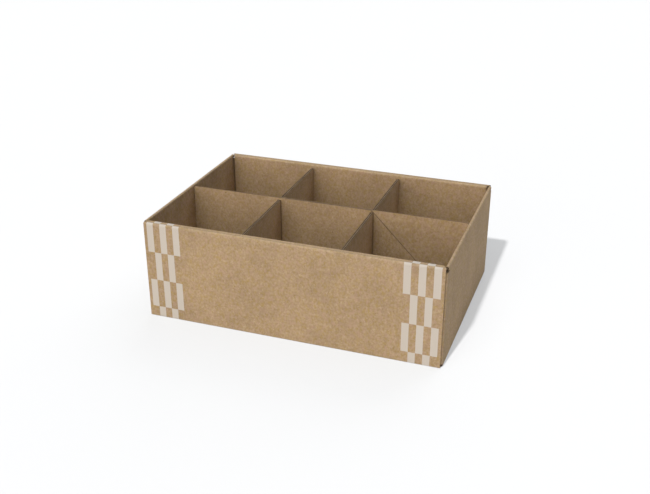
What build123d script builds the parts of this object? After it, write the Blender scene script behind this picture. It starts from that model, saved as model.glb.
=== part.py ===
"""Six-cell display tray of kraft board: a roll-over tray folded from one sheet, with two folded divider strips."""

import os

from build123d import *

os.makedirs("parts", exist_ok=True)

# Overall size of the folded tray, in millimetres
length = 300.0
depth = 210.0
height = 102.0

# The board and its folds
board = 1.4
ply_gap = 0.12
fold_radius = 0.4

# Corner tabs of the end walls, trapped between the plies of the long walls
tab_length = 55.0
tab_top_drop = 5.2
tab_foot = 3.5

# Inner panels of the long walls, clear of the tabs and locked into slots in the bottom
lining_gap = 1.6
roll_clearance = 0.3
lining_clearance = 0.8
lock_tab_width = 40.0
lock_tab_pitch = 150.0
lock_clearance = 0.3

# Divider strips
divider_drop = 1.2
fin_drop = 3.6
divider_clearance = 0.4
divider_corner_radius = 2.0
flap_toe = 1.0

# Places that follow from the sizes above
ply_pitch = board + ply_gap
fold = fold_radius + board / 2
half_length = length / 2
half_depth = depth / 2
end_wall = 2 * board + ply_gap
long_wall = 4 * board + 2 * ply_gap + lining_gap
rim = height - board / 2
foot = board + ply_gap

# The long walls: outer panel, spine and inner panel, with the bottom between them
panel_end = half_length - ply_pitch
lining_end = half_length - end_wall - lining_clearance
lining_y = half_depth - long_wall + board / 2
outer_y = half_depth - board / 2

# The end walls: outer panel as far as the corner folds, roll as far as the spines
outer_x = half_length - board / 2
inner_x = outer_x - ply_pitch
outer_tab_y = outer_y - ply_pitch
inner_tab_y = outer_tab_y - ply_pitch
outer_half = outer_tab_y - fold
roll_half = half_depth - long_wall - roll_clearance
roll_radius = ply_pitch / 2
roll_centre = height - board - ply_gap / 2
tab_top = height - tab_top_drop

with BuildPart() as tray:
    # Bottom and long walls, as one strip folded across the depth
    with BuildSketch(Plane.YZ):
        with BuildLine():
            FilletPolyline(
                (-lining_y, foot),
                (-lining_y, rim),
                (-outer_y, rim),
                (-outer_y, board / 2),
                (outer_y, board / 2),
                (outer_y, rim),
                (lining_y, rim),
                (lining_y, foot),
                radius=fold,
            )
        trace(line_width=board)
    extrude(amount=panel_end, both=True)

    # The inner panels are shorter than the outer ones, and the ends of the spines slant between them
    with BuildSketch(Plane.XY.offset(board)):
        with BuildLine():
            Polyline(
                (panel_end, 0),
                (panel_end, -(half_depth - board)),
                (lining_end, -(lining_y + board / 2)),
                (lining_end, 0),
                close=True,
            )
        make_face()
        mirror(about=Plane.XZ)
        mirror(about=Plane.YZ)
    extrude(amount=height - board, mode=Mode.SUBTRACT)

    # Outer plies of the end walls, up to the relief notches at the rim
    with BuildSketch(Plane.XZ):
        with BuildLine():
            FilletPolyline(
                (-outer_x, tab_top),
                (-outer_x, board / 2),
                (outer_x, board / 2),
                (outer_x, tab_top),
                radius=fold,
            )
        trace(line_width=board)
    extrude(amount=outer_half, both=True)

    # Rolls at the rim of the end walls, and their inner plies
    with BuildSketch(Plane.XZ):
        with BuildLine():
            rise = Line((outer_x, tab_top - board), (outer_x, roll_centre))
            roll = JernArc(rise @ 1, rise % 1, roll_radius, 180)
            Line(roll @ 1, (inner_x, foot))
            mirror(about=Plane.YZ)
        trace(line_width=board)
    extrude(amount=roll_half, both=True)

    # Corner tabs of both plies, folded into the long walls
    with BuildSketch(Plane.XY.offset(tab_foot)):
        for ply_x, ply_half, tab_y in (
            (outer_x, outer_half, outer_tab_y),
            (inner_x, roll_half, inner_tab_y),
        ):
            with BuildLine():
                FilletPolyline(
                    (ply_x, -(ply_half - board)),
                    (ply_x, -tab_y),
                    (half_length - tab_length, -tab_y),
                    radius=fold,
                )
            trace(line_width=board)
        mirror(about=Plane.XZ)
        mirror(about=Plane.YZ)
    extrude(amount=tab_top - tab_foot)

    # Slots in the bottom, and the lock tabs of the inner panels that stand in them
    with BuildSketch():
        with GridLocations(lock_tab_pitch, 2 * lining_y, 2, 2):
            Rectangle(lock_tab_width + 2 * lock_clearance, board + 2 * lock_clearance)
    extrude(amount=board, mode=Mode.SUBTRACT)
    with BuildSketch(Plane.XY.offset(ply_gap)):
        with GridLocations(lock_tab_pitch, 2 * lining_y, 2, 2):
            Rectangle(lock_tab_width, board)
    extrude(amount=foot + board)

# The fins stand where they make three cells of one length
fin_wall = 2 * board + ply_gap
cell_length = (length - 2 * end_wall - 2 * fin_wall) / 3
fin_x = (cell_length + fin_wall) / 2
fin_root = ply_pitch / 2 + fold
fin_tip = half_depth - long_wall - divider_clearance - fin_wall / 2
fin_top = height - fin_drop
strip_y = -ply_pitch / 2
strip_face = strip_y - board / 2
strip_end = half_length - end_wall - divider_clearance
strip_top = height - divider_drop

with BuildPart() as front_divider:
    # The folded strip in plan: end panel, fin, middle panel, fin and glue flap
    with BuildSketch(Plane.XY.offset(board)):
        with BuildLine():
            panel_start = -strip_end
            for centre in (-fin_x, fin_x):
                panel = Line((panel_start, strip_y), (centre - fin_root, strip_y))
                root = JernArc(panel @ 1, panel % 1, fold, -90)
                ply = Line(root @ 1, (centre - ply_pitch / 2, -fin_tip))
                tip = JernArc(ply @ 1, ply % 1, ply_pitch / 2, 180)
                ply = Line(tip @ 1, (centre + ply_pitch / 2, strip_y - fold))
                JernArc(ply @ 1, ply % 1, fold, -90)
                panel_start = centre + fin_root
            Line((panel_start, strip_y), (strip_end, strip_y))
        trace(line_width=board)
    extrude(amount=strip_top - board)

    # The fins are lower than the panels
    with BuildSketch(Plane.XY.offset(fin_top)):
        with Locations((0, strip_face)):
            Rectangle(length, half_depth, align=(Align.CENTER, Align.MAX))
    extrude(amount=height - fin_top, mode=Mode.SUBTRACT)

    # The glue flap slopes from the top of its fin down to a blunt toe at the end wall
    with BuildSketch(Plane.XZ):
        with BuildLine():
            Polyline(
                (fin_x, fin_top),
                (fin_x + fin_root, fin_top),
                (strip_end, board + flap_toe),
                (strip_end, height),
                (fin_x, height),
                close=True,
            )
        make_face()
    extrude(amount=-strip_face, mode=Mode.SUBTRACT)

    # The free top corner at the end wall is rounded
    free_corner = front_divider.edges().filter_by(Axis.Y).group_by(Axis.Z)[-1].sort_by(Axis.X)[0]
    fillet(free_corner, divider_corner_radius)

# The second strip is the first one turned half round
with BuildPart() as back_divider:
    add(front_divider.part, rotation=(0, 0, 180))

for name, piece in (
    ("tray", tray),
    ("front_divider", front_divider),
    ("back_divider", back_divider),
):
    piece.part.label = name
    export_step(piece.part, f"parts/{name}.step")
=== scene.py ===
"""Looks of a six-cell display tray: folded kraft board, open flutes at its cut edges, and a white studio."""

import logging
import math
from collections.abc import Callable, Sequence
from dataclasses import dataclass, field, replace
from enum import Enum
from typing import NamedTuple, Union

import bpy
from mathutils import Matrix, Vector
from mathutils.kdtree import KDTree

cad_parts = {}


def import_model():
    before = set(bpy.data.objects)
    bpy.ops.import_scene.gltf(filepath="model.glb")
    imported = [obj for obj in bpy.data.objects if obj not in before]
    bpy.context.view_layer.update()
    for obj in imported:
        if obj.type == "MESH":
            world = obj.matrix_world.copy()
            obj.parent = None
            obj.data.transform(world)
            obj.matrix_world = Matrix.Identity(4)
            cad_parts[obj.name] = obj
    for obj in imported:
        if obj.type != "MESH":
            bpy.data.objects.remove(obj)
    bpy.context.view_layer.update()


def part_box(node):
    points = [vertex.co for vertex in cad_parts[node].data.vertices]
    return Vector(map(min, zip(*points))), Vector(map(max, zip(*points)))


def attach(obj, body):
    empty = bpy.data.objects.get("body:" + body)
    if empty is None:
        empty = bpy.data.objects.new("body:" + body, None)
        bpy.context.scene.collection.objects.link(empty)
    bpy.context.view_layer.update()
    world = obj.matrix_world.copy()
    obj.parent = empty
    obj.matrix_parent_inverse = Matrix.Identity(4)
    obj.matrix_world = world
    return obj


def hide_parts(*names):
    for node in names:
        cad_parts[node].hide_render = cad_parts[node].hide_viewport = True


LOG = logging.getLogger("display_tray")
BODY = "root"
MM = 0.001  # one millimetre in metres
SAME_SPOT = 0.001 * MM  # points closer than this count as one
MESH_STEP = 12 * MM  # widest space between two lines of a mesh
INSIDE = -1.0  # marks a fold that has the outer face on its inside
NOISE_MIDDLE = 0.5  # what a noise gives on average

Colour = tuple[float, float, float, float]
Range = tuple[float, float]
Value = Union["Sock", float]


def paint(red: int, green: int, blue: int) -> Colour:
    """Turns a colour as a screen shows it into the linear colour that a shader takes.

    Args:
        red: Red, 0 to 255.
        green: Green, 0 to 255.
        blue: Blue, 0 to 255.

    Returns:
        Linear red, green and blue, and an alpha of 1.
    """
    brightest, knee, slope, offset, power = 255, 0.04045, 12.92, 0.055, 2.4
    linear = []
    for share in (red / brightest, green / brightest, blue / brightest):
        linear.append(share / slope if share <= knee else ((share + offset) / (1 + offset)) ** power)
    return (linear[0], linear[1], linear[2], 1.0)


def lines(marks: Sequence[float], step: float) -> list[float]:
    """Fills the stretches between marks with evenly spaced lines.

    Args:
        marks: Places that need a line, in any order. Those that fall on each other count once.
        step: The widest space between two lines.

    Returns:
        The places of all lines, in rising order.
    """
    made: list[float] = []
    for mark in sorted(marks):
        if not made:
            made.append(mark)
            continue
        start = made[-1]
        if mark - start < SAME_SPOT:
            continue
        count = math.ceil((mark - start) / step)
        made += [start + (mark - start) * (part + 1) / count for part in range(count)]
    return made


class Wall(Enum):
    """The two long walls, by the side of the tray that they stand on."""

    FRONT = -1
    BACK = 1


class End(Enum):
    """The two end walls, by the side of the tray that they stand on."""

    LEFT = -1
    RIGHT = 1


class Skin(Enum):
    """The finishes of a board, by their place in its list of materials."""

    LINER = 0
    CUT = 1


class Sock:
    """A shader value that takes part in Python expressions: each operator adds one Math node."""

    def __init__(self, shader: "Shader", socket: bpy.types.NodeSocket) -> None:
        """Keeps the socket and the shader that its nodes go to."""
        self.shader = shader
        self.socket = socket

    def math(self, operation: str, *values: Value) -> "Sock":
        """Adds one Math node with these inputs, and gives its result."""
        return self.shader.node("ShaderNodeMath", {"operation": operation}, dict(enumerate(values)))

    def __add__(self, other: Value) -> "Sock":
        """Adds another value."""
        return self.math("ADD", self, other)

    def __radd__(self, other: Value) -> "Sock":
        """Adds this value to a number."""
        return self.math("ADD", other, self)

    def __sub__(self, other: Value) -> "Sock":
        """Takes another value away."""
        return self.math("SUBTRACT", self, other)

    def __rsub__(self, other: Value) -> "Sock":
        """Takes this value away from a number."""
        return self.math("SUBTRACT", other, self)

    def __mul__(self, other: Value) -> "Sock":
        """Multiplies by another value."""
        return self.math("MULTIPLY", self, other)

    def __rmul__(self, other: Value) -> "Sock":
        """Multiplies a number by this value."""
        return self.math("MULTIPLY", other, self)

    def __truediv__(self, other: Value) -> "Sock":
        """Divides by another value."""
        return self.math("DIVIDE", self, other)

    def __rtruediv__(self, other: Value) -> "Sock":
        """Divides a number by this value."""
        return self.math("DIVIDE", other, self)

    def __mod__(self, other: Value) -> "Sock":
        """Gives what is left after division, never below zero."""
        return self.math("FLOORED_MODULO", self, other)

    def __rmod__(self, other: Value) -> "Sock":
        """Gives what is left of a number after division by this value."""
        return self.math("FLOORED_MODULO", other, self)

    def __lt__(self, other: Value) -> "Sock":
        """Gives 1 where this value is the smaller one, and 0 elsewhere."""
        return self.math("LESS_THAN", self, other)

    def __gt__(self, other: Value) -> "Sock":
        """Gives 1 where this value is the larger one, and 0 elsewhere."""
        return self.math("GREATER_THAN", self, other)

    def __abs__(self) -> "Sock":
        """Drops the sign."""
        return self.math("ABSOLUTE", self)

    def floor(self) -> "Sock":
        """Rounds down to a whole number."""
        return self.math("FLOOR", self)

    def smallest(self, other: Value) -> "Sock":
        """Gives the smaller of two values."""
        return self.math("MINIMUM", self, other)

    def largest(self, other: Value) -> "Sock":
        """Gives the larger of two values."""
        return self.math("MAXIMUM", self, other)

    def ramp(self, low: float, high: float) -> "Sock":
        """Goes smoothly from 0 at the first value to 1 at the second, which may be the lower one."""
        inputs = {"Value": self, "From Min": low, "From Max": high}
        return self.shader.node("ShaderNodeMapRange", {"interpolation_type": "SMOOTHSTEP"}, inputs)

    def ridge(self, width: float) -> "Sock":
        """Draws thin lines where a noise passes its middle: 1 there, and 0 from this width on."""
        return abs(self - NOISE_MIDDLE).ramp(width, 0.0)


class Shader:
    """Builds one node tree, a node at a time."""

    def __init__(self, tree: bpy.types.NodeTree) -> None:
        """Empties the tree."""
        self.tree = tree
        tree.nodes.clear()

    def node(
        self,
        kind: str,
        settings: dict[str, object] | None = None,
        inputs: dict[str | int, object] | None = None,
        output: str | int = 0,
    ) -> Sock:
        """Adds one node.

        Args:
            kind: The node's type.
            settings: Its own settings, which are set first.
            inputs: A value or a link for each of its sockets that needs one.
            output: Which of its outputs is wanted.

        Returns:
            That output, or the first input of a node that has no output.
        """
        made = self.tree.nodes.new(kind)
        for name, setting in (settings or {}).items():
            setattr(made, name, setting)
        for key, value in (inputs or {}).items():
            if isinstance(value, Sock):
                self.tree.links.new(value.socket, made.inputs[key])
            else:
                made.inputs[key].default_value = value
        return Sock(self, made.outputs[output]) if made.outputs else Sock(self, made.inputs[0])

    def mix(self, factor: Value, first: object, second: object) -> Sock:
        """Mixes two colours.

        Args:
            factor: The second colour's share.
            first: A colour or a link.
            second: A colour or a link.

        Returns:
            The mixed colour.
        """
        factor_at, first_at, second_at, result_at = 0, 6, 7, 2
        return self.node(
            "ShaderNodeMix",
            {"data_type": "RGBA"},
            {factor_at: factor, first_at: first, second_at: second},
            result_at,
        )

    def scaled(self, vector: Sock, factor: Value) -> Sock:
        """Scales a vector, or the brightness of a colour."""
        return self.node("ShaderNodeVectorMath", {"operation": "SCALE"}, {"Vector": vector, "Scale": factor})

    def combined(self, operation: str, first: object, second: object) -> Sock:
        """Combines two vectors by an operation of the Vector Math node."""
        return self.node("ShaderNodeVectorMath", {"operation": operation}, {0: first, 1: second})

    def noise(self, place: Sock, size: float, detail: float = 2.0, output: str = "Fac") -> Sock:
        """Adds a noise with clouds of this size, in the units of place: Fac is one value, Color three."""
        settings = {"Vector": place, "Scale": 1 / size, "Detail": detail}
        return self.node("ShaderNodeTexNoise", {"noise_dimensions": "3D"}, settings, output)

    def parts(self, vector: Sock) -> tuple[Sock, Sock, Sock]:
        """Splits a vector into its X, Y and Z."""
        outputs = self.node("ShaderNodeSeparateXYZ", None, {"Vector": vector}).socket.node.outputs
        return Sock(self, outputs["X"]), Sock(self, outputs["Y"]), Sock(self, outputs["Z"])

    def surface(self, shader: Sock) -> None:
        """Makes a shader the tree's result."""
        world = isinstance(self.tree.id_data, bpy.types.World)
        self.node("ShaderNodeOutputWorld" if world else "ShaderNodeOutputMaterial", None, {"Surface": shader})

    def paper(
        self,
        colour: Sock,
        roughness: Sock,
        gloss: float,
        height: Sock,
        relief: float,
        strength: float,
    ) -> None:
        """Makes a paper the tree's result.

        Args:
            colour: Its colour.
            roughness: Its roughness.
            gloss: Its specular level.
            height: How far its fibres stand out.
            relief: What a height of 1 comes to, in metres.
            strength: How much the relief shows.
        """
        bump = self.node("ShaderNodeBump", None, {"Strength": strength, "Distance": relief, "Height": height})
        look = {"Base Color": colour, "Roughness": roughness, "Specular IOR Level": gloss, "Normal": bump}
        self.surface(self.node("ShaderNodeBsdfPrincipled", None, look))


def new_material(name: str) -> tuple[bpy.types.Material, Shader]:
    """Adds an empty material.

    Args:
        name: Its name.

    Returns:
        The material, and the shader that fills it.
    """
    material = bpy.data.materials.new(name)
    material.use_nodes = True
    return material, Shader(material.node_tree)


def placed(name: str, data: bpy.types.ID) -> bpy.types.Object:
    """Adds an object to the scene.

    Args:
        name: Its name.
        data: Its mesh, lamp or camera.

    Returns:
        The object.
    """
    made = bpy.data.objects.new(name, data)
    bpy.context.scene.collection.objects.link(made)
    return made


@dataclass(frozen=True)
class CheckPrint:
    """Pale blocks printed in a check near both ends of the front, running on over the rim.

    Attributes:
        ink: Colour of the blocks.
        cover: Share of the kraft that the ink hides.
        thin_range: Flecks at which the ink starts to be thinner, and at which it is thinnest.
        thin_share: How much less it hides there.
        column: Width of a block.
        row: Height of a block.
        inner_edge: Distance of the innermost column from the middle of the front.
        columns: How many columns there are at each end.
        first_row: Height of the lower edge of the first whole row, which is number 0.
        last_row: Number of the highest row on the wall.
        rim_line: Way up the wall and on over the rim to the row that lies on the spine.
        ragged: How far the fibres make a block's edge wander.
    """

    ink: Colour = paint(211, 201, 188)
    cover: float = 0.93
    thin_range: Range = (0.6, 0.75)
    thin_share: float = 0.2
    column: float = 6.9 * MM
    row: float = 29.8 * MM
    inner_edge: float = 110.78 * MM
    columns: int = 5
    first_row: float = 11.75 * MM
    last_row: int = 2
    rim_line: float = 103.9 * MM
    ragged: float = 0.25 * MM

    def mask(self, shader: Shader, place: Sock, flecks: Sock, front: float, spine: float) -> Sock:
        """Finds how much of the kraft the ink hides.

        Args:
            shader: The liner's shader.
            place: The point on the tray.
            flecks: The liner's flecks, which make the ink's edges wander and its cover thinner.
            front: Where the front wall's outer face lies.
            spine: Width of the front wall's spine, which the print covers.

        Returns:
            The hidden share, which is 0 on bare kraft.
        """
        across, inward, up = shader.parts(place)
        edge = (flecks - NOISE_MIDDLE) * self.ragged
        column = (abs(across) + edge - self.inner_edge) / self.column
        climb = up + inward + edge - front
        row = ((climb - self.first_row) / self.row).floor().smallest(float(self.last_row))
        printed = ((column.floor() + row + (climb > self.rim_line)) % 2.0) < 0.5
        within = (column > 0.0) * (column < float(self.columns)) * (inward < front + spine)
        return printed * within * (self.cover - flecks.ramp(*self.thin_range) * self.thin_share)


@dataclass(frozen=True)
class Kraft:
    """Uncoated brown kraft liner: flecks that lean to ochre or pink, with hairs and specks of bark.

    Sizes of marks are in millimetres. A range gives the noise at which a mark sets in and at which it is
    whole, and a share tells how much a whole mark counts.

    Attributes:
        deep: The darker and warmer brown.
        pale: The lighter and greyer brown.
        ochre: The yellow that some patches lean to.
        pink: The red that other patches lean to.
        pale_hair_and_highlight: Colour of pale hairs, and of the outside of a fold: partly rubbed pale,
            partly a painted highlight.
        dark: Colour of dark hairs, and of the painted shade in the inside of a fold.
        bark: Colour of flecks and specks of bark.
        stretch: Scale of heights in the grain, which is drawn out upwards where it is below 1.
        wander: Size of the waves on which the grain strays.
        stray: How far it strays.
        fleck: Size of the flecks.
        fleck_range: From the deep brown to the pale one.
        patch: Size of the patches that lean to ochre or pink.
        patch_shift: Where their noise is read, beside that of the flecks.
        ochre_range: Where patches lean to ochre.
        pink_range: Where patches lean to pink.
        lean_share: How far they lean.
        lump: Size of the small clouds.
        lump_share: How much they count beside the large ones.
        cloud: Size of the large clouds.
        cloud_contrast: How much the clouds differ in brightness.
        hair: Size of the loops that the hairs are parts of.
        hair_width: Width of a hair, as a step of the loops' noise.
        hair_break: Size of the patches that have one kind of hair.
        pale_hair_range: Where hairs are pale.
        pale_hair_share: How far pale hairs hide the brown.
        pale_hair_rise: How far they stand out.
        dark_hair_range: Where hairs are dark.
        dark_hair_share: How far dark hairs hide the brown.
        dark_hair_dip: How far they lie in.
        bark_fleck: Size of the noise that the flecks of bark are peaks of.
        bark_shift: Where that noise is read.
        bark_range: Where flecks of bark lie.
        bark_share: How far they hide the brown.
        speck_gap: From one place for a speck to the next.
        speck_range: A speck's edge and its core, in gaps from the middle.
        speck_least: Chance above which a place has a speck.
        speck_faintest: Strength of the faintest specks.
        speck_share: How far the strongest hide the brown.
        rubbed_and_lit_range: Flecks on which the outside of a fold is lightened, as rubbing and as painted
            highlight.
        rubbed_and_lit_share: How far the outside of a fold is rubbed pale and lightened by painted highlight.
        crease_shade_share: How far the inside of a fold is darkened by painted shade.
        roughness: Roughness of the bare liner.
        roughness_spread: How much it differs between flecks.
        ink_roughness: Roughness of the ink.
        gloss: Specular level.
        relief: Depth of the fibres, in metres.
        relief_strength: How much it shows.
    """

    deep: Colour = paint(167, 139, 101)
    pale: Colour = paint(187, 162, 131)
    ochre: Colour = paint(175, 146, 91)
    pink: Colour = paint(184, 152, 127)
    pale_hair_and_highlight: Colour = paint(210, 188, 160)
    dark: Colour = paint(100, 77, 51)
    bark: Colour = paint(128, 92, 48)
    stretch: float = 0.85
    wander: float = 6.8
    stray: float = 1.7
    fleck: float = 2.04
    fleck_range: Range = (0.27, 0.73)
    patch: float = 2.38
    patch_shift: tuple[float, float, float] = (31.0, 17.0, 5.0)
    ochre_range: Range = (0.48, 0.7)
    pink_range: Range = (0.52, 0.3)
    lean_share: float = 0.75
    lump: float = 5.95
    lump_share: float = 0.6
    cloud: float = 30.0
    cloud_contrast: float = 0.38
    hair: float = 2.72
    hair_width: float = 0.03
    hair_break: float = 3.4
    pale_hair_range: Range = (0.5, 0.6)
    pale_hair_share: float = 0.5
    pale_hair_rise: float = 0.5
    dark_hair_range: Range = (0.46, 0.36)
    dark_hair_share: float = 0.25
    dark_hair_dip: float = 0.3
    bark_fleck: float = 1.02
    bark_shift: tuple[float, float, float] = (7.0, 41.0, 23.0)
    bark_range: Range = (0.66, 0.78)
    bark_share: float = 0.6
    speck_gap: float = 9.0
    speck_range: Range = (0.085, 0.051)
    speck_least: float = 0.78
    speck_faintest: float = 0.35
    speck_share: float = 0.8
    rubbed_and_lit_range: Range = (0.2, 0.6)
    rubbed_and_lit_share: float = 0.06
    crease_shade_share: float = 0.6
    roughness: float = 0.82
    roughness_spread: float = 0.2
    ink_roughness: float = 0.68
    gloss: float = 0.25
    relief: float = 0.05 * MM
    relief_strength: float = 0.5

    def make(
        self,
        name: str,
        check: CheckPrint | None = None,
        front: float = 0.0,
        spine: float = 0.0,
    ) -> bpy.types.Material:
        """Makes the liner's material.

        Args:
            name: The material's name.
            check: The print on it, if there is one.
            front: Where the printed wall's outer face lies.
            spine: Width of the printed wall's spine.

        Returns:
            The material.
        """
        material, shader = new_material(name)
        place = shader.node("ShaderNodeTexCoord", output="Object")
        sheet = shader.combined("MULTIPLY", place, (1 / MM, 1 / MM, self.stretch / MM))
        waves = shader.noise(sheet, self.wander, output="Color")
        strayed = shader.combined("ADD", sheet, shader.scaled(waves, self.stray))
        flecks = shader.noise(strayed, self.fleck, detail=5.0)
        hairs = shader.noise(strayed, self.hair, detail=1.0).ridge(self.hair_width)
        breaks = shader.noise(sheet, self.hair_break, detail=1.0)
        pale_hairs = hairs * breaks.ramp(*self.pale_hair_range)
        dark_hairs = hairs * breaks.ramp(*self.dark_hair_range)

        colour = self._brown(shader, sheet, strayed, flecks)
        colour = shader.mix(pale_hairs * self.pale_hair_share, colour, self.pale_hair_and_highlight)
        colour = shader.mix(dark_hairs * self.dark_hair_share, colour, self.dark)
        colour = shader.mix(self._bark_flecks(shader, strayed) * self.bark_share, colour, self.bark)
        colour = shader.mix(self._specks(shader, sheet) * self.speck_share, colour, self.bark)
        colour = self._rub_light_and_shade_folds(shader, colour, flecks)
        roughness = self.roughness + (flecks - NOISE_MIDDLE) * self.roughness_spread
        if check:
            inked = check.mask(shader, place, flecks, front, spine)
            colour = shader.mix(inked, colour, check.ink)
            roughness = roughness + inked * (self.ink_roughness - self.roughness)
        height = flecks + pale_hairs * self.pale_hair_rise - dark_hairs * self.dark_hair_dip
        shader.paper(colour, roughness, self.gloss, height, self.relief, self.relief_strength)
        return material

    def _brown(self, shader: Shader, sheet: Sock, strayed: Sock, flecks: Sock) -> Sock:
        """Mixes the paper's own browns.

        Args:
            shader: The liner's shader.
            sheet: The point on the liner, in millimetres.
            strayed: The same point on the straying grain.
            flecks: The flecks there.

        Returns:
            The colour without hairs, bark, folds or print.
        """
        patches = shader.noise(shader.combined("ADD", strayed, self.patch_shift), self.patch, detail=5.0)
        lumps = shader.noise(sheet, self.lump)
        clouds = shader.noise(sheet, self.cloud, detail=3.0)
        brown = shader.mix(flecks.ramp(*self.fleck_range), self.deep, self.pale)
        brown = shader.mix(patches.ramp(*self.ochre_range) * self.lean_share, brown, self.ochre)
        brown = shader.mix(patches.ramp(*self.pink_range) * self.lean_share, brown, self.pink)
        cloudy = clouds + self.lump_share * lumps - (1 + self.lump_share) * NOISE_MIDDLE
        return shader.scaled(brown, 1.0 + cloudy * self.cloud_contrast)

    def _bark_flecks(self, shader: Shader, strayed: Sock) -> Sock:
        """Gives 1 on the many small flecks of bark, and 0 elsewhere."""
        bark = shader.noise(shader.combined("ADD", strayed, self.bark_shift), self.bark_fleck, detail=1.0)
        return bark.ramp(*self.bark_range)

    def _specks(self, shader: Shader, sheet: Sock) -> Sock:
        """Scatters a few larger specks of bark.

        Args:
            shader: The liner's shader.
            sheet: The point on the liner, in millimetres.

        Returns:
            How strong the speck is there, which is 0 where there is none.
        """
        inputs = {"Vector": sheet, "Scale": 1 / self.speck_gap}
        cells = shader.node("ShaderNodeTexVoronoi", {"feature": "F1"}, inputs)
        chance, strength, _ = shader.parts(Sock(shader, cells.socket.node.outputs["Color"]))
        strength = self.speck_faintest + (1 - self.speck_faintest) * strength
        return cells.ramp(*self.speck_range) * (chance > self.speck_least) * strength

    def _rub_light_and_shade_folds(self, shader: Shader, colour: Sock, flecks: Sock) -> Sock:
        """Lightens the outside of the folds, partly as rubbing and partly as a painted highlight, and darkens
        their inside with painted shade.

        Args:
            shader: The liner's shader.
            colour: The colour of a flat panel.
            flecks: The liner's flecks.

        Returns:
            The colour with the folds' rubbing, painted highlight and painted shade.
        """
        fold = shader.node("ShaderNodeAttribute", {"attribute_name": "fold"}, output="Fac")
        # Outside of a fold: partly rubbed pale, partly a painted highlight where the round catches the light
        rubbed_and_lit = fold.ramp(0.0, -INSIDE) * flecks.ramp(*self.rubbed_and_lit_range)
        colour = shader.mix(rubbed_and_lit * self.rubbed_and_lit_share, colour, self.pale_hair_and_highlight)
        # Inside of a fold: painted shade in the crease
        return shader.mix(fold.ramp(0.0, INSIDE) * self.crease_shade_share, colour, self.dark)


@dataclass(frozen=True)
class CutBoard:
    """The raw cut of the board, where paper ends in short grey-brown fibres over dark flutes.

    Attributes:
        shade: Colour between the fibres.
        fibre: Colour of the fibres that stand out.
        hollow_shade: Painted shade deep in the flutes.
        fibre_size: Size of the fibres, in millimetres.
        patch_size: Size of the patches with more or fewer fibres, in millimetres.
        fibre_share: How much the fibres count beside the patches.
        fibre_range: From the shade to the fibres' colour, by the noise of both.
        hollow_shade_range: From the cut's colour to the painted shade, by the depth in the groove.
        roughness: Roughness of the cut.
        roughness_spread: How much it differs between fibres.
        gloss: Specular level.
        relief: Depth of the fibres, in metres.
        relief_strength: How much it shows.
    """

    shade: Colour = paint(120, 100, 78)
    fibre: Colour = paint(156, 134, 106)
    hollow_shade: Colour = paint(62, 48, 34)
    fibre_size: float = 0.35
    patch_size: float = 6.0
    fibre_share: float = 0.6
    fibre_range: Range = (0.35, 0.65)
    hollow_shade_range: Range = (0.0, 0.7)
    roughness: float = 0.92
    roughness_spread: float = 0.1
    gloss: float = 0.2
    relief: float = 0.06 * MM
    relief_strength: float = 0.6

    def make(self, name: str) -> bpy.types.Material:
        """Makes the cut's material.

        Args:
            name: The material's name.

        Returns:
            The material.
        """
        material, shader = new_material(name)
        sheet = shader.scaled(shader.node("ShaderNodeTexCoord", output="Object"), 1 / MM)
        fibres = shader.noise(sheet, self.fibre_size, detail=3.0)
        patches = shader.noise(sheet, self.patch_size)
        mottled = self.fibre_share * fibres + (1 - self.fibre_share) * patches
        colour = shader.mix(mottled.ramp(*self.fibre_range), self.shade, self.fibre)
        # Painted shade: the cut is darker deeper in the groove, as the flutes' tunnels would lie in shadow
        depth = shader.node("ShaderNodeAttribute", {"attribute_name": "hollow_shade"}, output="Fac")
        colour = shader.mix(depth.ramp(*self.hollow_shade_range), colour, self.hollow_shade)
        roughness = self.roughness + (fibres - NOISE_MIDDLE) * self.roughness_spread
        shader.paper(colour, roughness, self.gloss, fibres, self.relief, self.relief_strength)
        return material


@dataclass(frozen=True)
class Board:
    """The corrugated board that every piece is cut from, in metres.

    Attributes:
        thickness: Over both liners.
        ply_gap: Air between two plies that are pressed together.
        fold_radius: Inner radius of a fold.
        liner: Thickness of each flat paper.
        medium: Thickness of the wavy paper between them.
        flute: From one wave of the medium to the next.
        groove: How deep one looks into the cut.
        recess: How far the medium stands back from the cut.
    """

    thickness: float
    ply_gap: float
    fold_radius: float = 0.4 * MM
    liner: float = 0.24 * MM
    medium: float = 0.2 * MM
    flute: float = 3.2 * MM
    groove: float = 1.0 * MM
    recess: float = 0.08 * MM

    @classmethod
    def from_frame(cls) -> "Board":
        """Reads the board off the front divider, which stands on the bottom and lies against its twin."""
        low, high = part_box("front_divider")
        return cls(thickness=low.z, ply_gap=-2 * high.y)

    @property
    def half(self) -> float:
        """Half the thickness."""
        return self.thickness / 2

    @property
    def pitch(self) -> float:
        """From the middle of a ply to the middle of the next."""
        return self.thickness + self.ply_gap

    @property
    def fold(self) -> float:
        """Radius of a fold at the middle of the board."""
        return self.fold_radius + self.half


class Corner(NamedTuple):
    """A corner of a fold path.

    Attributes:
        u: Its first coordinate in the plane of the folds.
        v: Its second coordinate.
        radius: Radius of the fold there, or 0 for a mark on a flat panel.
    """

    u: float
    v: float
    radius: float = 0.0


@dataclass(frozen=True)
class Station:
    """One line across a sheet, as a point of its fold path.

    Attributes:
        spot: Where it lies in the plane of the folds.
        face: The way the outer face looks there.
        run: Distance along the flat sheet from the start of the path.
        fold: 1 where the outer face is bent round a fold, -1 where it lies inside one, and 0 on a flat panel.
    """

    spot: Vector
    face: Vector
    run: float
    fold: float


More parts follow.
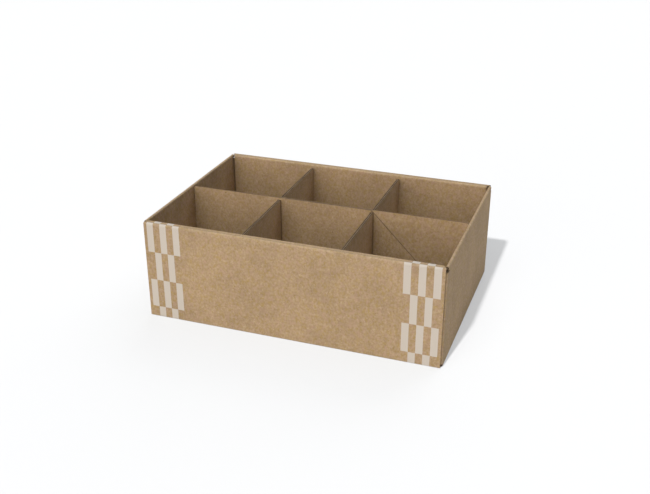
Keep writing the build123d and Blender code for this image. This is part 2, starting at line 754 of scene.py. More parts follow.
@dataclass
class FoldPath:
    """Flat panels joined by round folds, drawn in one plane.

    Attributes:
        corners: The ends of the panels.
        side: 1 where the outer face lies to the right of the path, and -1 where it lies to the left.
        shoulder: How far the rubbing, painted highlight and painted shade of a fold reach into the panels
            beside it.
        turns: Stations on the round of a fold.
        joins: 1 or -1 for a fold that the path starts or ends at, and 0 for a free edge or a flat join.
        made: The stations so far.
    """

    corners: Sequence[Corner]
    side: int = 1
    shoulder: float = 1.4 * MM
    turns: int = 6
    joins: tuple[float, float] = (0.0, 0.0)
    made: list[Station] = field(default_factory=list)

    def stations(self) -> list[Station]:
        """Walks along the path.

        Returns:
            Its stations, in order.
        """
        points = [Vector((corner.u, corner.v)) for corner in self.corners]
        headings = [(after - before).normalized() for before, after in zip(points, points[1:])]
        self.made = [Station(points[0], self._face(headings[0]), 0.0, self.joins[0])]
        for index in range(1, len(points) - 1):
            before, after = headings[index - 1], headings[index]
            turn = before.angle_signed(after, 0.0)
            corner = self.corners[index]
            trim = corner.radius * math.tan(abs(turn) / 2)
            fold = -self.side * math.copysign(1.0, turn) if corner.radius else 0.0
            self._panel(points[index] - before * trim, before, fold)
            if corner.radius:
                self._round(before, turn, corner.radius, fold)
        self._panel(points[-1], headings[-1], self.joins[1])
        return self.made

    def _face(self, heading: Vector) -> Vector:
        """Gives the way the outer face looks where the path has this heading."""
        return self.side * Vector((heading.y, -heading.x))

    def _add(self, spot: Vector, heading: Vector, way: float, fold: float) -> None:
        """Adds one station, some way on from the last, with 1 or -1 on a fold and 0 on a panel."""
        self.made.append(Station(spot, self._face(heading), self.made[-1].run + way, fold))

    def _panel(self, end: Vector, heading: Vector, fold: float) -> None:
        """Walks straight on from the last station.

        Args:
            end: Where the panel ends.
            heading: Which way it goes.
            fold: 1 or -1 if a fold follows, and 0 if none does.
        """
        start = self.made[-1]
        length = (end - start.spot).length
        if length < SAME_SPOT:
            return
        # On a short panel, a shoulder takes a third at most
        shoulder = min(self.shoulder, length / 3)
        marks = [0.0, length]
        marks += [shoulder] if start.fold else []
        marks += [length - shoulder] if fold else []
        places = lines(marks, MESH_STEP)
        for before, place in zip(places, places[1:]):
            last = place == places[-1]
            self._add(start.spot + heading * place, heading, place - before, fold if last else 0.0)

    def _round(self, heading: Vector, turn: float, radius: float, fold: float) -> None:
        """Walks round a fold.

        Args:
            heading: The way the path goes before the fold.
            turn: How far it turns, in radians, clockwise above zero.
            radius: The fold's radius.
            fold: 1 where the outer face is bent round the fold, and -1 where it lies inside it.
        """
        start = self.made[-1].spot
        inward = Vector((heading.y, -heading.x)) * math.copysign(1.0, turn)
        for part in range(1, self.turns + 1):
            angle = abs(turn) * part / self.turns
            spot = start + heading * radius * math.sin(angle) + inward * radius * (1 - math.cos(angle))
            onward = heading * math.cos(angle) + inward * math.sin(angle)
            self._add(spot, onward, radius * abs(turn) / self.turns, fold)


@dataclass
class Sheet:
    """A folded sheet with no thickness yet, as quads between points.

    Attributes:
        spots: The points.
        faces: The way the outer face looks at each point.
        flutes: Distance of each point across the flutes of the flat sheet.
        folds: 1 where the outer face is bent round a fold, -1 where it lies inside one, and 0 elsewhere.
        quads: Four points for each quad, counter-clockwise on the outer face.
    """

    spots: list[Vector] = field(default_factory=list)
    faces: list[Vector] = field(default_factory=list)
    flutes: list[float] = field(default_factory=list)
    folds: list[float] = field(default_factory=list)
    quads: list[tuple[int, ...]] = field(default_factory=list)

    def add(
        self,
        stations: Sequence[Station],
        columns: Callable[[Station], Sequence[float]],
        place: Callable[[float, float, float], Vector],
        flute: Callable[[Station, float], float],
        slots: Callable[[Vector], bool] = lambda middle: False,
    ) -> None:
        """Sweeps a fold path into a panel.

        Args:
            stations: The path's stations.
            columns: Gives the places of a station's points along the sweep.
            place: Turns two coordinates of the path and one along the sweep into a point of the tray.
            flute: Gives a point's distance across the flutes.
            slots: Says whether a quad around this point is cut out.
        """
        start = len(self.spots)
        width = len(columns(stations[0]))
        for station in stations:
            for along in columns(station):
                self.spots.append(place(station.spot.x, station.spot.y, along))
                self.faces.append(place(station.face.x, station.face.y, 0.0))
                self.flutes.append(flute(station, along))
                self.folds.append(station.fold)
        for row in range(len(stations) - 1):
            for column in range(width - 1):
                first = start + row * width + column
                quad = (first, first + 1, first + width + 1, first + width)
                corners = [self.spots[index] for index in quad]
                if slots(sum(corners, Vector()) / len(corners)):
                    continue
                facing = (corners[2] - corners[0]).cross(corners[3] - corners[1])
                look = sum((self.faces[index] for index in quad), Vector())
                self.quads.append(quad if facing.dot(look) > 0 else quad[::-1])

    def weld(self) -> None:
        """Joins the points of neighbouring panels that lie on each other."""
        tree = KDTree(len(self.spots))
        for index, spot in enumerate(self.spots):
            tree.insert(spot, index)
        tree.balance()
        first = [min(found[1] for found in tree.find_range(spot, SAME_SPOT)) for spot in self.spots]
        for index, keeper in enumerate(first):
            self.folds[keeper] = max(self.folds[keeper], self.folds[index], key=abs)
        kept = sorted({first[index] for quad in self.quads for index in quad})
        number = {index: place for place, index in enumerate(kept)}
        self.quads = [tuple(number[first[index]] for index in quad) for quad in self.quads]
        self.spots = [self.spots[index] for index in kept]
        self.faces = [self.faces[index].normalized() for index in kept]
        self.flutes = [self.flutes[index] for index in kept]
        self.folds = [self.folds[index] for index in kept]

    def rims(self) -> list[list[int]]:
        """Follows the free edges.

        Returns:
            A loop of points for each edge, with the sheet to its left on the outer face.
        """
        sides = {pair for quad in self.quads for pair in zip(quad, quad[1:] + quad[:1])}
        following = {a: b for a, b in sorted(sides) if (b, a) not in sides}
        loops = []
        while following:
            loop = [min(following)]
            onward = following.pop(loop[0])
            while onward != loop[0]:
                loop.append(onward)
                onward = following.pop(onward)
            loops.append(loop)
        return loops


@dataclass
class BoardMesh:
    """Thickens a folded sheet into liners, cut edges and the wavy medium between them.

    Attributes:
        board: The board's sizes.
        sheet: The folded sheet, welded.
        wave_steps: Points on one wave of the medium.
        points: The mesh's points.
        hollows: How deep in the flutes each point lies, 0 at the cut and 1 on the groove's floor, which sets
            the cut's painted shade.
        polygons: The points of each polygon.
        skins: The finish of each polygon.
        normals: The direction at each corner of each polygon, or zero where it is flat.
    """

    board: Board
    sheet: Sheet
    wave_steps: int = 10
    points: list[Vector] = field(default_factory=list)
    hollows: list[float] = field(default_factory=list)
    polygons: list[tuple[int, ...]] = field(default_factory=list)
    skins: list[Skin] = field(default_factory=list)
    normals: list[Vector] = field(default_factory=list)

    def build(self, name: str) -> bpy.types.Object:
        """Makes the board's mesh.

        Args:
            name: Name of the new object.

        Returns:
            The object, which is in the scene and has no material yet.
        """
        self._liners()
        for rim in self.sheet.rims():
            insets = self._insets(rim)
            self._cut(rim, insets)
            self._medium(rim, insets)
        mesh = bpy.data.meshes.new(name)
        mesh.from_pydata(self.points, [], self.polygons)
        for polygon, skin in zip(mesh.polygons, self.skins):
            polygon.material_index = skin.value
            polygon.use_smooth = skin is Skin.LINER
        mesh.normals_split_custom_set(self.normals)
        # Fold marks for the liner: rubbing and a painted highlight outside a fold, painted shade inside it
        fold_marks = mesh.attributes.new("fold", "FLOAT", "POINT")
        folds = self.sheet.folds + [-fold for fold in self.sheet.folds]
        fold_marks.data.foreach_set("value", folds + [0.0] * (len(self.points) - len(folds)))
        # Depth in the groove, which the cut's painted shade follows
        mesh.attributes.new("hollow_shade", "FLOAT", "POINT").data.foreach_set("value", self.hollows)
        return placed(name, mesh)

    def _face(self, corners: Sequence[int], skin: Skin, normals: Sequence[Vector] | None = None) -> None:
        """Adds one polygon.

        Args:
            corners: Its points.
            skin: Its finish.
            normals: The surface's own direction at each point, where it is round.
        """
        self.polygons.append(tuple(corners))
        self.skins.append(skin)
        self.normals += normals or [Vector()] * len(corners)

    def _liners(self) -> None:
        """Adds both flat papers, half the board's thickness to each side of the sheet."""
        sheet, half, count = self.sheet, self.board.half, len(self.sheet.spots)
        self.points += [spot + face * half for spot, face in zip(sheet.spots, sheet.faces)]
        self.points += [spot - face * half for spot, face in zip(sheet.spots, sheet.faces)]
        self.hollows += [0.0] * len(self.points)
        for quad in sheet.quads:
            self._face(quad, Skin.LINER, [sheet.faces[index] for index in quad])
            inner = quad[::-1]
            inward = [-sheet.faces[index] for index in inner]
            self._face([index + count for index in inner], Skin.LINER, inward)

    def _insets(self, rim: Sequence[int]) -> list[Vector]:
        """Works out the way into the sheet at each point of a free edge.

        Args:
            rim: The edge's points.

        Returns:
            For each point, the step that moves both edges beside it inward by one unit.
        """
        spots, insets = self.sheet.spots, []
        for before, here, after in zip(rim[-1:] + rim[:-1], rim, rim[1:] + rim[:1]):
            face = self.sheet.faces[here]
            left = face.cross(spots[here] - spots[before]).normalized()
            right = face.cross(spots[after] - spots[here]).normalized()
            insets.append((left + right) / (1 + left.dot(right)))
        return insets

    def _cut(self, rim: Sequence[int], insets: Sequence[Vector]) -> None:
        """Closes a free edge with the liners' cut lips and a groove between them.

        Args:
            rim: The edge's points.
            insets: The way into the sheet at each of them.
        """
        sheet, count = self.sheet, len(self.sheet.spots)
        lip = self.board.half - self.board.liner
        steps = ((0.0, lip), (self.board.groove, lip), (self.board.groove, -lip), (0.0, -lip))
        rows = [list(rim)]
        for depth, side in steps:
            start = len(self.points)
            for index, inset in zip(rim, insets):
                self.points.append(sheet.spots[index] + inset * depth + sheet.faces[index] * side)
            self.hollows += [depth / self.board.groove] * len(rim)
            rows.append(list(range(start, start + len(rim))))
        rows.append([index + count for index in rim])
        for upper, lower in zip(rows, rows[1:]):
            for here in range(len(rim)):
                after = (here + 1) % len(rim)
                self._face((upper[after], upper[here], lower[here], lower[after]), Skin.CUT)

    def _medium(self, rim: Sequence[int], insets: Sequence[Vector]) -> None:
        """Stands the end of the wavy medium in the groove of a free edge.

        Args:
            rim: The edge's points.
            insets: The way into the sheet at each of them.
        """
        board, sheet = self.board, self.sheet
        swing = board.half - board.liner - board.medium / 2
        start = len(self.points)
        for place, here in enumerate(rim):
            onward = (place + 1) % len(rim)
            after = rim[onward]
            waves = abs(sheet.flutes[after] - sheet.flutes[here]) / board.flute
            parts = max(1, math.ceil(waves * self.wave_steps))
            for part in range(parts):
                share = part / parts
                spot = sheet.spots[here].lerp(sheet.spots[after], share)
                face = sheet.faces[here].lerp(sheet.faces[after], share)
                inset = insets[place].lerp(insets[onward], share)
                across = sheet.flutes[here] + (sheet.flutes[after] - sheet.flutes[here]) * share
                middle = swing * math.sin(2 * math.pi * across / board.flute)
                upper, lower = middle + board.medium / 2, middle - board.medium / 2
                front, back = board.recess, board.groove + board.recess
                for depth, side in ((front, upper), (front, lower), (back, lower), (back, upper)):
                    self.points.append(spot + inset * depth + face * side)
                    self.hollows.append(depth / board.groove)
        total, sides = len(self.points) - start, 4
        for first in range(0, total, sides):
            second = (first + sides) % total
            for corner in range(sides):
                turned = (corner + 1) % sides
                ring = (first + corner, first + turned, second + turned, second + corner)
                self._face([start + index for index in ring], Skin.CUT)


@dataclass
class Tray:
    """The roll-over tray, folded from one die-cut sheet.

    Attributes:
        board: The board it is cut from.
        tab_length: Reach of the corner tabs along the long walls.
        tab_top_drop: How far the tabs stay below the rim.
        tab_foot: Height of the tabs' lower edge.
        tab_fold: Radius of the folds at the corners, at the middle of the board.
        tab_slack: How far the tabs stand off the outer panels, beside the gap of pressed plies.
        lining_gap: Air between the tabs and the inner panels of the long walls.
        roll_clearance: Air between the rolls of the end walls and the spines.
        roll_lead: How much further the rolls reach into the corners than the plies below them.
        roll_neck: Height of the notches between the tabs and the rolls.
        roll_flare: Height of the slant from a ply out to the full width of the roll.
        lining_clearance: Air between the inner panels and the end walls.
        lock_tab_width: Width of the inner panels' lock tabs.
        lock_tab_pitch: From one lock tab to the next.
        lock_clearance: Air round a lock tab in its slot.
        score_inset: From a long wall's outer face to the score pressed into its spine.
        score_half: Half the width of that score.
        score_depth: Its depth.
        score_radius: How softly it bends.
    """

    board: Board
    tab_length: float = 55 * MM
    tab_top_drop: float = 5.2 * MM
    tab_foot: float = 3.5 * MM
    tab_fold: float = 0.75 * MM
    tab_slack: float = 0.8 * MM
    lining_gap: float = 1.6 * MM
    roll_clearance: float = 0.3 * MM
    roll_lead: float = 3.2 * MM
    roll_neck: float = 2.1 * MM
    roll_flare: float = 0.7 * MM
    lining_clearance: float = 1.9 * MM
    lock_tab_width: float = 40 * MM
    lock_tab_pitch: float = 150 * MM
    lock_clearance: float = 0.3 * MM
    score_inset: float = 2.8 * MM
    score_half: float = 0.75 * MM
    score_depth: float = 0.22 * MM
    score_radius: float = 1.6 * MM

    def __post_init__(self) -> None:
        """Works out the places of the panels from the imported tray's box."""
        board = self.board
        _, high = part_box("tray")
        self.half_length, self.half_depth, self.height = high
        self.rim = self.height - board.half
        self.foot = board.pitch
        self.tab_top = self.height - self.tab_top_drop
        self.end_wall = board.thickness + board.pitch
        self.long_wall = 2 * board.thickness + 2 * board.pitch + self.lining_gap
        self.outer_y = self.half_depth - board.half
        self.lining_y = self.half_depth - self.long_wall + board.half
        self.outer_x = self.half_length - board.half
        self.inner_x = self.outer_x - board.pitch
        self.panel_end = self.half_length - board.pitch
        self.lining_end = self.half_length - self.end_wall - self.lining_clearance
        self.floor_end = self.outer_x - board.fold
        self.outer_tab_y = self.outer_y - board.pitch - self.tab_slack
        self.inner_tab_y = self.outer_tab_y - board.pitch
        self.outer_half = self.outer_tab_y - board.fold
        self.roll_half = self.half_depth - self.long_wall - self.roll_clearance
        self.roll_foot = self.tab_top + self.roll_neck
        self.slot_half = board.half + self.lock_clearance

    def build(self) -> bpy.types.Object:
        """Folds the sheet and gives it its thickness.

        Returns:
            The tray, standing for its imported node.
        """
        sheet = Sheet()
        strip = self._strip().stations()
        self._add_long_walls(sheet, strip)
        floor = [station.spot.x for station in strip if abs(station.spot.y - self.board.half) < SAME_SPOT]
        for end in End:
            self._add_end_wall(sheet, end, floor)
        sheet.weld()
        made = BoardMesh(self.board, sheet).build("folded_tray")
        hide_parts("tray")
        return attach(made, BODY)

    def dress(self, made: bpy.types.Object, liner: Kraft, check: CheckPrint, cut: CutBoard) -> None:
        """Gives the tray its finishes.

        Args:
            made: The tray.
            liner: Its kraft liner.
            check: The print on the liner.
            cut: Its cut edges.
        """
        # The print ends inside the inner panel's board, so that the panel's inner face stays bare
        spine = self.long_wall - self.board.half
        made.data.materials.append(liner.make("printed_kraft", check, -self.half_depth, spine))
        made.data.materials.append(cut.make("tray_cut_edge"))

    def _strip(self) -> FoldPath:
        """Draws the bottom and both long walls across the depth.

        Returns:
            Their path, with marks where other panels meet the bottom.
        """
        fold, half = self.board.fold, self.board.half
        slot = (self.lining_y - self.slot_half, self.lining_y + self.slot_half)
        meets = [side * place for side in (-1, 1) for place in (*slot, self.roll_half, self.outer_half)]
        marks = lines(meets, self.half_depth)
        score = self.half_depth - self.score_inset
        crease = (
            (score - self.score_half, self.rim),
            (score, self.rim - self.score_depth),
            (score + self.score_half, self.rim),
        )
        pressed = [Corner(y, z, self.score_radius) for y, z in crease]
        corners = [
            Corner(-self.lining_y, self.foot),
            Corner(-self.lining_y, self.rim, fold),
            *(corner._replace(u=-corner.u) for corner in pressed),
            Corner(-self.outer_y, self.rim, fold),
            Corner(-self.outer_y, half, fold),
            *(Corner(mark, half) for mark in marks),
            Corner(self.outer_y, half, fold),
            Corner(self.outer_y, self.rim, fold),
            *reversed(pressed),
            Corner(self.lining_y, self.rim, fold),
            Corner(self.lining_y, self.foot),
        ]
        return FoldPath(corners)

    def _reach(self, station: Station) -> float:
        """Gives how far the strip goes to each end.

        Args:
            station: The line across the strip.

        Returns:
            The distance from the middle, which is longest on the outer panels and slants over the spines.
        """
        across = abs(station.spot.x)
        if station.spot.y < self.board.thickness:
            share = (across - self.outer_y + self.board.fold) / self.board.fold
            low, high = self.floor_end, self.panel_end
        else:
            start, stop = self.lining_y + self.board.half, self.half_depth - self.board.thickness
            share = (across - start) / (stop - start)
            low, high = self.lining_end, self.panel_end
        return low + (high - low) * min(max(share, 0.0), 1.0)

    def _lock_edges(self, spare: float) -> list[tuple[float, float]]:
        """Gives both edges of each lock tab along a long wall, with some spare room added at each."""
        half, middle = self.lock_tab_width / 2 + spare, self.lock_tab_pitch / 2
        return [(side * middle - half, side * middle + half) for side in (-1, 1)]

    def _add_long_walls(self, sheet: Sheet, strip: Sequence[Station]) -> None:
        """Adds the bottom, the long walls and their lock tabs.

        Args:
            sheet: The tray's sheet.
            strip: The stations of the strip across the depth.
        """
        tabs, slots = self._lock_edges(0.0), self._lock_edges(self.lock_clearance)
        last = self.lining_end - MESH_STEP / 2
        inner = lines([-last, last, *(edge for pair in tabs + slots for edge in pair)], MESH_STEP)
        middle = strip[-1].run / 2

        def in_slot(spot: Vector) -> bool:
            """Says whether a point of the bottom lies in a lock slot."""
            on_line = abs(abs(spot.y) - self.lining_y) < self.slot_half and spot.z < self.board.thickness
            return on_line and any(low < spot.x < high for low, high in slots)

        sheet.add(
            strip,
            lambda station: [-self._reach(station), *inner, self._reach(station)],
            lambda y, z, x: Vector((x, y, z)),
            lambda station, x: station.run - middle,
            in_slot,
        )
        for wall in Wall:
            heights = (self.board.ply_gap, self.foot)[:: -wall.value]
            path = FoldPath([Corner(wall.value * self.lining_y, height) for height in heights])
            for low, high in tabs:
                sheet.add(
                    path.stations(),
                    lambda station: [x for x in inner if low - SAME_SPOT < x < high + SAME_SPOT],
                    lambda y, z, x: Vector((x, y, z)),
                    lambda station, x: wall.value * (middle + self.foot - station.spot.y),
                )

    def _into_corners(self, across: Sequence[float], station: Station) -> list[float]:
        """Gives the places of points along an end wall, the first and last further out on the roll."""
        lead = self.roll_lead if station.spot.y > self.roll_foot - SAME_SPOT else 0.0
        return [across[0] - lead, *across[1:-1], across[-1] + lead]

    def _add_end_wall(self, sheet: Sheet, end: End, floor: Sequence[float]) -> None:
        """Adds an end wall: outer ply, roll, inner ply and the corner tabs of both plies.

        Args:
            sheet: The tray's sheet.
            end: Which end wall.
            floor: The places of the bottom's lines along the depth.
        """
        board = self.board
        neck = self.roll_foot - self.roll_flare
        outer = FoldPath(
            [
                Corner(self.floor_end, board.half),
                Corner(self.outer_x, board.half, board.fold),
                Corner(self.outer_x, self.tab_foot),
                Corner(self.outer_x, self.tab_top),
            ]
        ).stations()
        roll = FoldPath(
            [
                Corner(self.outer_x, self.tab_top),
                Corner(self.outer_x, neck),
                Corner(self.outer_x, self.roll_foot),
                Corner(self.outer_x, self.rim, board.pitch / 2),
                Corner(self.inner_x, self.rim, board.pitch / 2),
                Corner(self.inner_x, self.roll_foot),
                Corner(self.inner_x, neck),
                Corner(self.inner_x, self.tab_top),
                Corner(self.inner_x, self.tab_foot),
                Corner(self.inner_x, self.foot),
            ]
        ).stations()
        plies = (
            (outer, self.outer_half, self.outer_x, self.outer_tab_y, 1),
            (roll, self.roll_half, self.inner_x, self.inner_tab_y, -1),
        )
        for ply, half, ply_x, tab_y, side in plies:
            across = [y for y in floor if abs(y) < half + SAME_SPOT]
            sheet.add(
                ply,
                lambda station: self._into_corners(across, station),
                lambda x, z, y: Vector((end.value * x, y, z)),
                lambda station, y: y,
            )
            heights = [
                station.spot.y
                for station in ply
                if abs(station.spot.x - ply_x) < SAME_SPOT
                and self.tab_foot - SAME_SPOT < station.spot.y < self.tab_top + SAME_SPOT
            ]
            tip = self.half_length - self.tab_length
            bends = [Corner(ply_x, half), Corner(ply_x, tab_y, self.tab_fold), Corner(tip, tab_y)]
            tab = FoldPath(bends, side)
            for wall in Wall:
                sheet.add(
                    tab.stations(),
                    lambda station: heights,
                    lambda x, y, z: Vector((end.value * x, wall.value * y, z)),
                    lambda station, z: wall.value * (half + station.run),
                )


@dataclass
class Divider:
    """A folded divider strip: end panel, fin, middle panel, fin and glue flap.

    Attributes:
        board: The board it is cut from.
        wall: The long wall that its fins reach to.
        tray: The tray that it stands in.
        fin_drop: How far the fins stay below the tray's rim.
        clearance: Air between the strip and the tray's walls.
        corner_radius: Round of the free top corner.
        flap_toe: Height of the glue flap where it ends.
        ear_cut: Width of the cut between a fin's top and the ears of the panels over it.
        corner_steps: Lines across the round of the corner.
    """

    board: Board
    wall: Wall
    tray: Tray
    fin_drop: float = 3.6 * MM
    clearance: float = 0.4 * MM
    corner_radius: float = 2.0 * MM
    flap_toe: float = 1.0 * MM
    ear_cut: float = 0.3 * MM
    corner_steps: int = 6

    def __post_init__(self) -> None:
        """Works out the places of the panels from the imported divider's box."""
        board, tray = self.board, self.tray
        self.node = f"{self.wall.name.lower()}_divider"
        low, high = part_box(self.node)
        fins, cells = 2, 3
        fin_wall = board.thickness + board.pitch
        cell = (2 * tray.half_length - 2 * tray.end_wall - fins * fin_wall) / cells
        self.floor, self.top = low.z, high.z
        self.end = high.x
        self.strip_y = -board.pitch / 2
        self.fin_x = (cell + fin_wall) / 2
        self.fin_root = board.pitch / 2 + board.fold
        self.near_root = self.fin_x - self.fin_root
        self.far_root = self.fin_x + self.fin_root
        self.fin_top = tray.height - self.fin_drop
        self.fin_tip = -(tray.half_depth - tray.long_wall - self.clearance - board.half)
        self.levels = lines([self.floor, self.fin_top], MESH_STEP)

    def build(self) -> bpy.types.Object:
        """Folds the strip and gives it its thickness.

        Returns:
            The strip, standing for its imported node.
        """
        sheet = Sheet()
        middle = self._flat((-self.near_root, self.near_root), (INSIDE, INSIDE))
        for panel in (self._end_panel().stations(), middle.stations()):
            self._add(sheet, panel, lambda station: self.levels)
            # Above the fins the panels carry no fold mark, so the painted shade at the fins' roots ends at
            # their top
            self._add(sheet, [replace(station, fold=0.0) for station in panel], self._top_levels)
        for centre in (-self.fin_x, self.fin_x):
            self._add(sheet, self._fin(centre).stations(), lambda station: self.levels)
        flap = self._flat((self.far_root, self.end), (INSIDE, 0.0))
        self._add(sheet, flap.stations(), self._flap_levels)
        self._add_ears(sheet)
        sheet.weld()
        made = BoardMesh(self.board, sheet).build(f"folded_{self.node}")
        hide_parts(self.node)
        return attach(made, BODY)

    def dress(self, made: bpy.types.Object, liner: bpy.types.Material, cut: bpy.types.Material) -> None:
        """Gives the strip its finishes: kraft on its faces, and the raw cut along its edges."""
        made.data.materials.append(liner)
        made.data.materials.append(cut)

    def _add(
        self,
        sheet: Sheet,
        stretch: Sequence[Station],
        levels: Callable[[Station], Sequence[float]],
    ) -> None:
        """Adds one stretch of the strip, which is turned half round at the back."""
        turn = -self.wall.value
        sheet.add(stretch, levels, lambda x, y, z: Vector((turn * x, turn * y, z)), lambda station, z: z)

    def _add_ears(self, sheet: Sheet) -> None:
        """Adds the ears of the panels, which close the top edge over the fins and are cut free of them.

        Args:
            sheet: The strip's sheet.
        """
        short = self.board.ply_gap / 2
        ears = (
            (-self.far_root, -self.fin_x - short),
            (short - self.fin_x, -self.near_root),
            (self.near_root, self.fin_x - short),
        )
        for ends in ears:
            ear = self._flat(ends, (0.0, 0.0)).stations()
            self._add(sheet, ear, lambda station: [self.fin_top + self.ear_cut, self.top])

    def _flat(self, places: Sequence[float], joins: tuple[float, float]) -> FoldPath:
        """Draws a flat stretch of the strip in plan, with the folds that it joins."""
        return FoldPath([Corner(x, self.strip_y) for x in places], joins=joins)

    def _end_panel(self) -> FoldPath:
        """Draws the end panel in plan.

        Returns:
            Its path, with marks for the round corner at its free end.
        """
        angles = [math.pi / 2 * part / self.corner_steps for part in range(1, self.corner_steps + 1)]
        marks = [self.corner_radius * (1 - math.cos(angle)) - self.end for angle in angles]
        return self._flat((-self.end, *marks, -self.far_root), (0.0, INSIDE))

    def _top_levels(self, station: Station) -> list[float]:
        """Gives the heights of a panel's points from the fins' height up.

        Args:
            station: The line up the panel.

        Returns:
            The fins' height, the lower edge of the ears, and the top, which is lower at the free corner.
        """
        short = max(0.0, self.corner_radius - (station.spot.x + self.end))
        drop = self.corner_radius - math.sqrt(max(0.0, self.corner_radius**2 - short**2))
        return [self.fin_top, self.fin_top + self.ear_cut, self.top - drop]

    def _fin(self, centre: float) -> FoldPath:
        """Draws a fin in plan: out to the long wall, round its tip and back.

        Args:
            centre: The middle of the fin.

        Returns:
            Its path.
        """
        fold, ply = self.board.fold, self.board.pitch / 2
        corners = [
            Corner(centre - self.fin_root, self.strip_y),
            Corner(centre - ply, self.strip_y, fold),
            Corner(centre - ply, self.fin_tip, ply),
            Corner(centre + ply, self.fin_tip, ply),
            Corner(centre + ply, self.strip_y, fold),
            Corner(centre + self.fin_root, self.strip_y),
        ]
        return FoldPath(corners, joins=(INSIDE, INSIDE))

    def _flap_levels(self, station: Station) -> list[float]:
        """Gives the heights of the glue flap's points.

        Args:
            station: The line up the flap.

        Returns:
            The heights, evenly spread from the floor to the slope that comes down to the flap's toe.
        """
        share = (station.spot.x - self.far_root) / (self.end - self.far_root)
        top = self.fin_top + (self.floor + self.flap_toe - self.fin_top) * share
        rows = len(self.levels) - 1
        return [self.floor + (top - self.floor) * row / rows for row in range(rows + 1)]


def look_from(made: bpy.types.Object, azimuth: float, elevation: float) -> None:
    """Turns a camera or lamp to look from one side.

    Args:
        made: The camera or lamp.
        azimuth: How far that side is from straight in front, in degrees, to the right above zero.
        elevation: How high it is, in degrees.
    """
    around, up = math.radians(azimuth), math.radians(elevation)
    ahead = Vector((-math.sin(around) * math.cos(up), math.cos(around) * math.cos(up), -math.sin(up)))
    made.rotation_euler = ahead.to_track_quat("-Z", "Y").to_euler()


@dataclass(frozen=True)
class Camera:
    """The viewpoint of the picture.

    Attributes:
        place: Where the camera stands, in metres.
        azimuth: How far it has gone round the tray from the front, in degrees.
        elevation: How far it looks down, in degrees.
        focal: Focal length in picture widths.
        sensor: Width of the sensor, in millimetres.
    """

    place: tuple[float, float, float] = (0.28927, -0.81065, 0.46209)
    azimuth: float = 19.651
    elevation: float = 25.459
    focal: float = 1.41982
    sensor: float = 36.0

    def build(self) -> None:
        """Sets the camera up and makes it the scene's own."""
        data = bpy.data.cameras.new("camera")
        data.sensor_width = self.sensor
        data.lens = self.focal * self.sensor
        made = placed("camera", data)
        made.location = self.place
        look_from(made, self.azimuth, self.elevation)
        bpy.context.scene.camera = made


@dataclass(frozen=True)
class Lamp:
    """A lamp far away from the tray.

    Attributes:
        name: Its name.
        azimuth: Where it stands round the tray, in degrees from the front, to the right above zero.
        elevation: How high it stands, in degrees.
        width: How wide it looks from the tray, in degrees.
        strength: Its strength, in watts per square metre.
        tint: The colour of its light.
    """

    name: str
    azimuth: float
    elevation: float
    width: float
    strength: float
    tint: tuple[float, float, float] = (1.0, 1.0, 1.0)

    def build(self) -> bpy.types.Object:
        """Hangs the lamp up.

        Returns:
            The lamp.
        """
        data = bpy.data.lights.new(self.name, "SUN")
        data.energy = self.strength
        data.angle = math.radians(self.width)
        data.color = self.tint
        made = placed(self.name, data)
        look_from(made, self.azimuth, self.elevation)
        return made


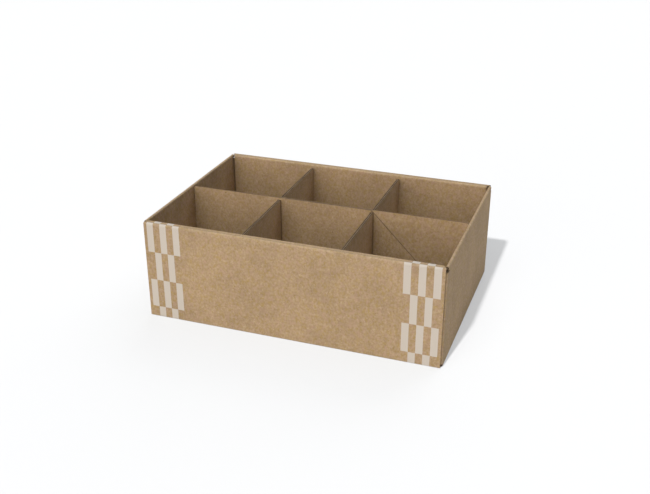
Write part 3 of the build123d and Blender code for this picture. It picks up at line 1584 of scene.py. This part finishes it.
@dataclass(frozen=True)
class Studio:
    """A white floor with two lamps of its own, under three wide lamps and an even sky.

    Attributes:
        softbox: The main light, high in front.
        fill: The low light on the front.
        back_light: A wide light high behind.
        floor_key: A narrow lamp on the floor alone, for the tray's shadow there.
        floor_wash: A wide lamp on the floor alone, from behind, for the soft shade in front.
        sky: Light from all round.
        floor_size: Side of the floor, in metres.
        floor_grey: How much light the floor gives back.
        floor_glow: What it adds in the camera's view, so that it is white there.
    """

    softbox: Lamp = Lamp("softbox", 0.0, 60.0, 50.0, 1.7, (0.94, 0.99, 1.0))
    fill: Lamp = Lamp("fill", -15.0, 8.0, 50.0, 1.72, (1.0, 0.9, 0.84))
    back_light: Lamp = Lamp("back_light", 150.0, 62.0, 50.0, 1.15, (0.86, 0.9, 1.0))
    floor_key: Lamp = Lamp("floor_key", -7.0, 48.7, 2.5, 8.15)
    floor_wash: Lamp = Lamp("floor_wash", 175.0, 30.0, 60.0, 2.1)
    sky: Colour = (0.08, 0.085, 0.094, 1.0)
    floor_size: float = 16.0
    floor_grey: float = 0.2
    floor_glow: float = 0.36

    def build(self) -> None:
        """Sets up the floor, the lamps and the sky."""
        bpy.context.scene.view_settings.view_transform = "Standard"
        for lamp in (self.softbox, self.fill, self.back_light):
            lamp.build()
        lit = bpy.data.collections.new("floor_alone")
        lit.objects.link(self._floor())
        for lamp in (self.floor_key, self.floor_wash):
            lamp.build().light_linking.receiver_collection = lit
        self._sky()

    def _floor(self) -> bpy.types.Object:
        """Lays the floor.

        Returns:
            The floor.
        """
        reach = self.floor_size / 2
        corners = [(-reach, -reach, 0.0), (reach, -reach, 0.0), (reach, reach, 0.0), (-reach, reach, 0.0)]
        mesh = bpy.data.meshes.new("floor")
        mesh.from_pydata(corners, [], [(0, 1, 2, 3)])
        floor = placed("floor", mesh)
        material, shader = new_material("floor_white")
        grey = (self.floor_grey, self.floor_grey, self.floor_grey, 1.0)
        matt = shader.node("ShaderNodeBsdfDiffuse", None, {"Color": grey})
        glow = shader.node("ShaderNodeEmission", None, {"Strength": self._seen(shader) * self.floor_glow})
        shader.surface(shader.node("ShaderNodeAddShader", None, {0: matt, 1: glow}))
        mesh.materials.append(material)
        return floor

    def _sky(self) -> None:
        """Fills the world with even light, which the camera sees as white."""
        world = bpy.data.worlds.new("sky")
        world.use_nodes = True
        shader = Shader(world.node_tree)
        white = (1.0, 1.0, 1.0, 1.0)
        colour = shader.mix(self._seen(shader), self.sky, white)
        shader.surface(shader.node("ShaderNodeBackground", None, {"Color": colour}))
        bpy.context.scene.world = world

    def _seen(self, shader: Shader) -> Sock:
        """Finds the rays that show a surface to the camera.

        Args:
            shader: The shader that asks.

        Returns:
            1 for rays that come straight, mirrored or through glass, and 0 for all others.
        """
        camera = shader.node("ShaderNodeLightPath", output="Is Camera Ray")
        outputs = camera.socket.node.outputs
        mirrored = Sock(shader, outputs["Is Glossy Ray"])
        return camera.largest(mirrored).largest(Sock(shader, outputs["Is Transmission Ray"]))


def main() -> None:
    """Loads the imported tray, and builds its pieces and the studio."""
    logging.basicConfig(level=logging.INFO, format="%(message)s")
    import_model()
    board = Board.from_frame()

    tray = Tray(board)
    folded = tray.build()
    tray.dress(folded, Kraft(), CheckPrint(), CutBoard())
    LOG.info("%s: %d faces", folded.name, len(folded.data.polygons))

    plain, cut = Kraft().make("plain_kraft"), CutBoard().make("divider_cut_edge")
    for wall in Wall:
        divider = Divider(board, wall, tray)
        strip = divider.build()
        divider.dress(strip, plain, cut)
        LOG.info("%s: %d faces", strip.name, len(strip.data.polygons))

    Studio().build()
    Camera().build()


if __name__ == "__main__":
    main()
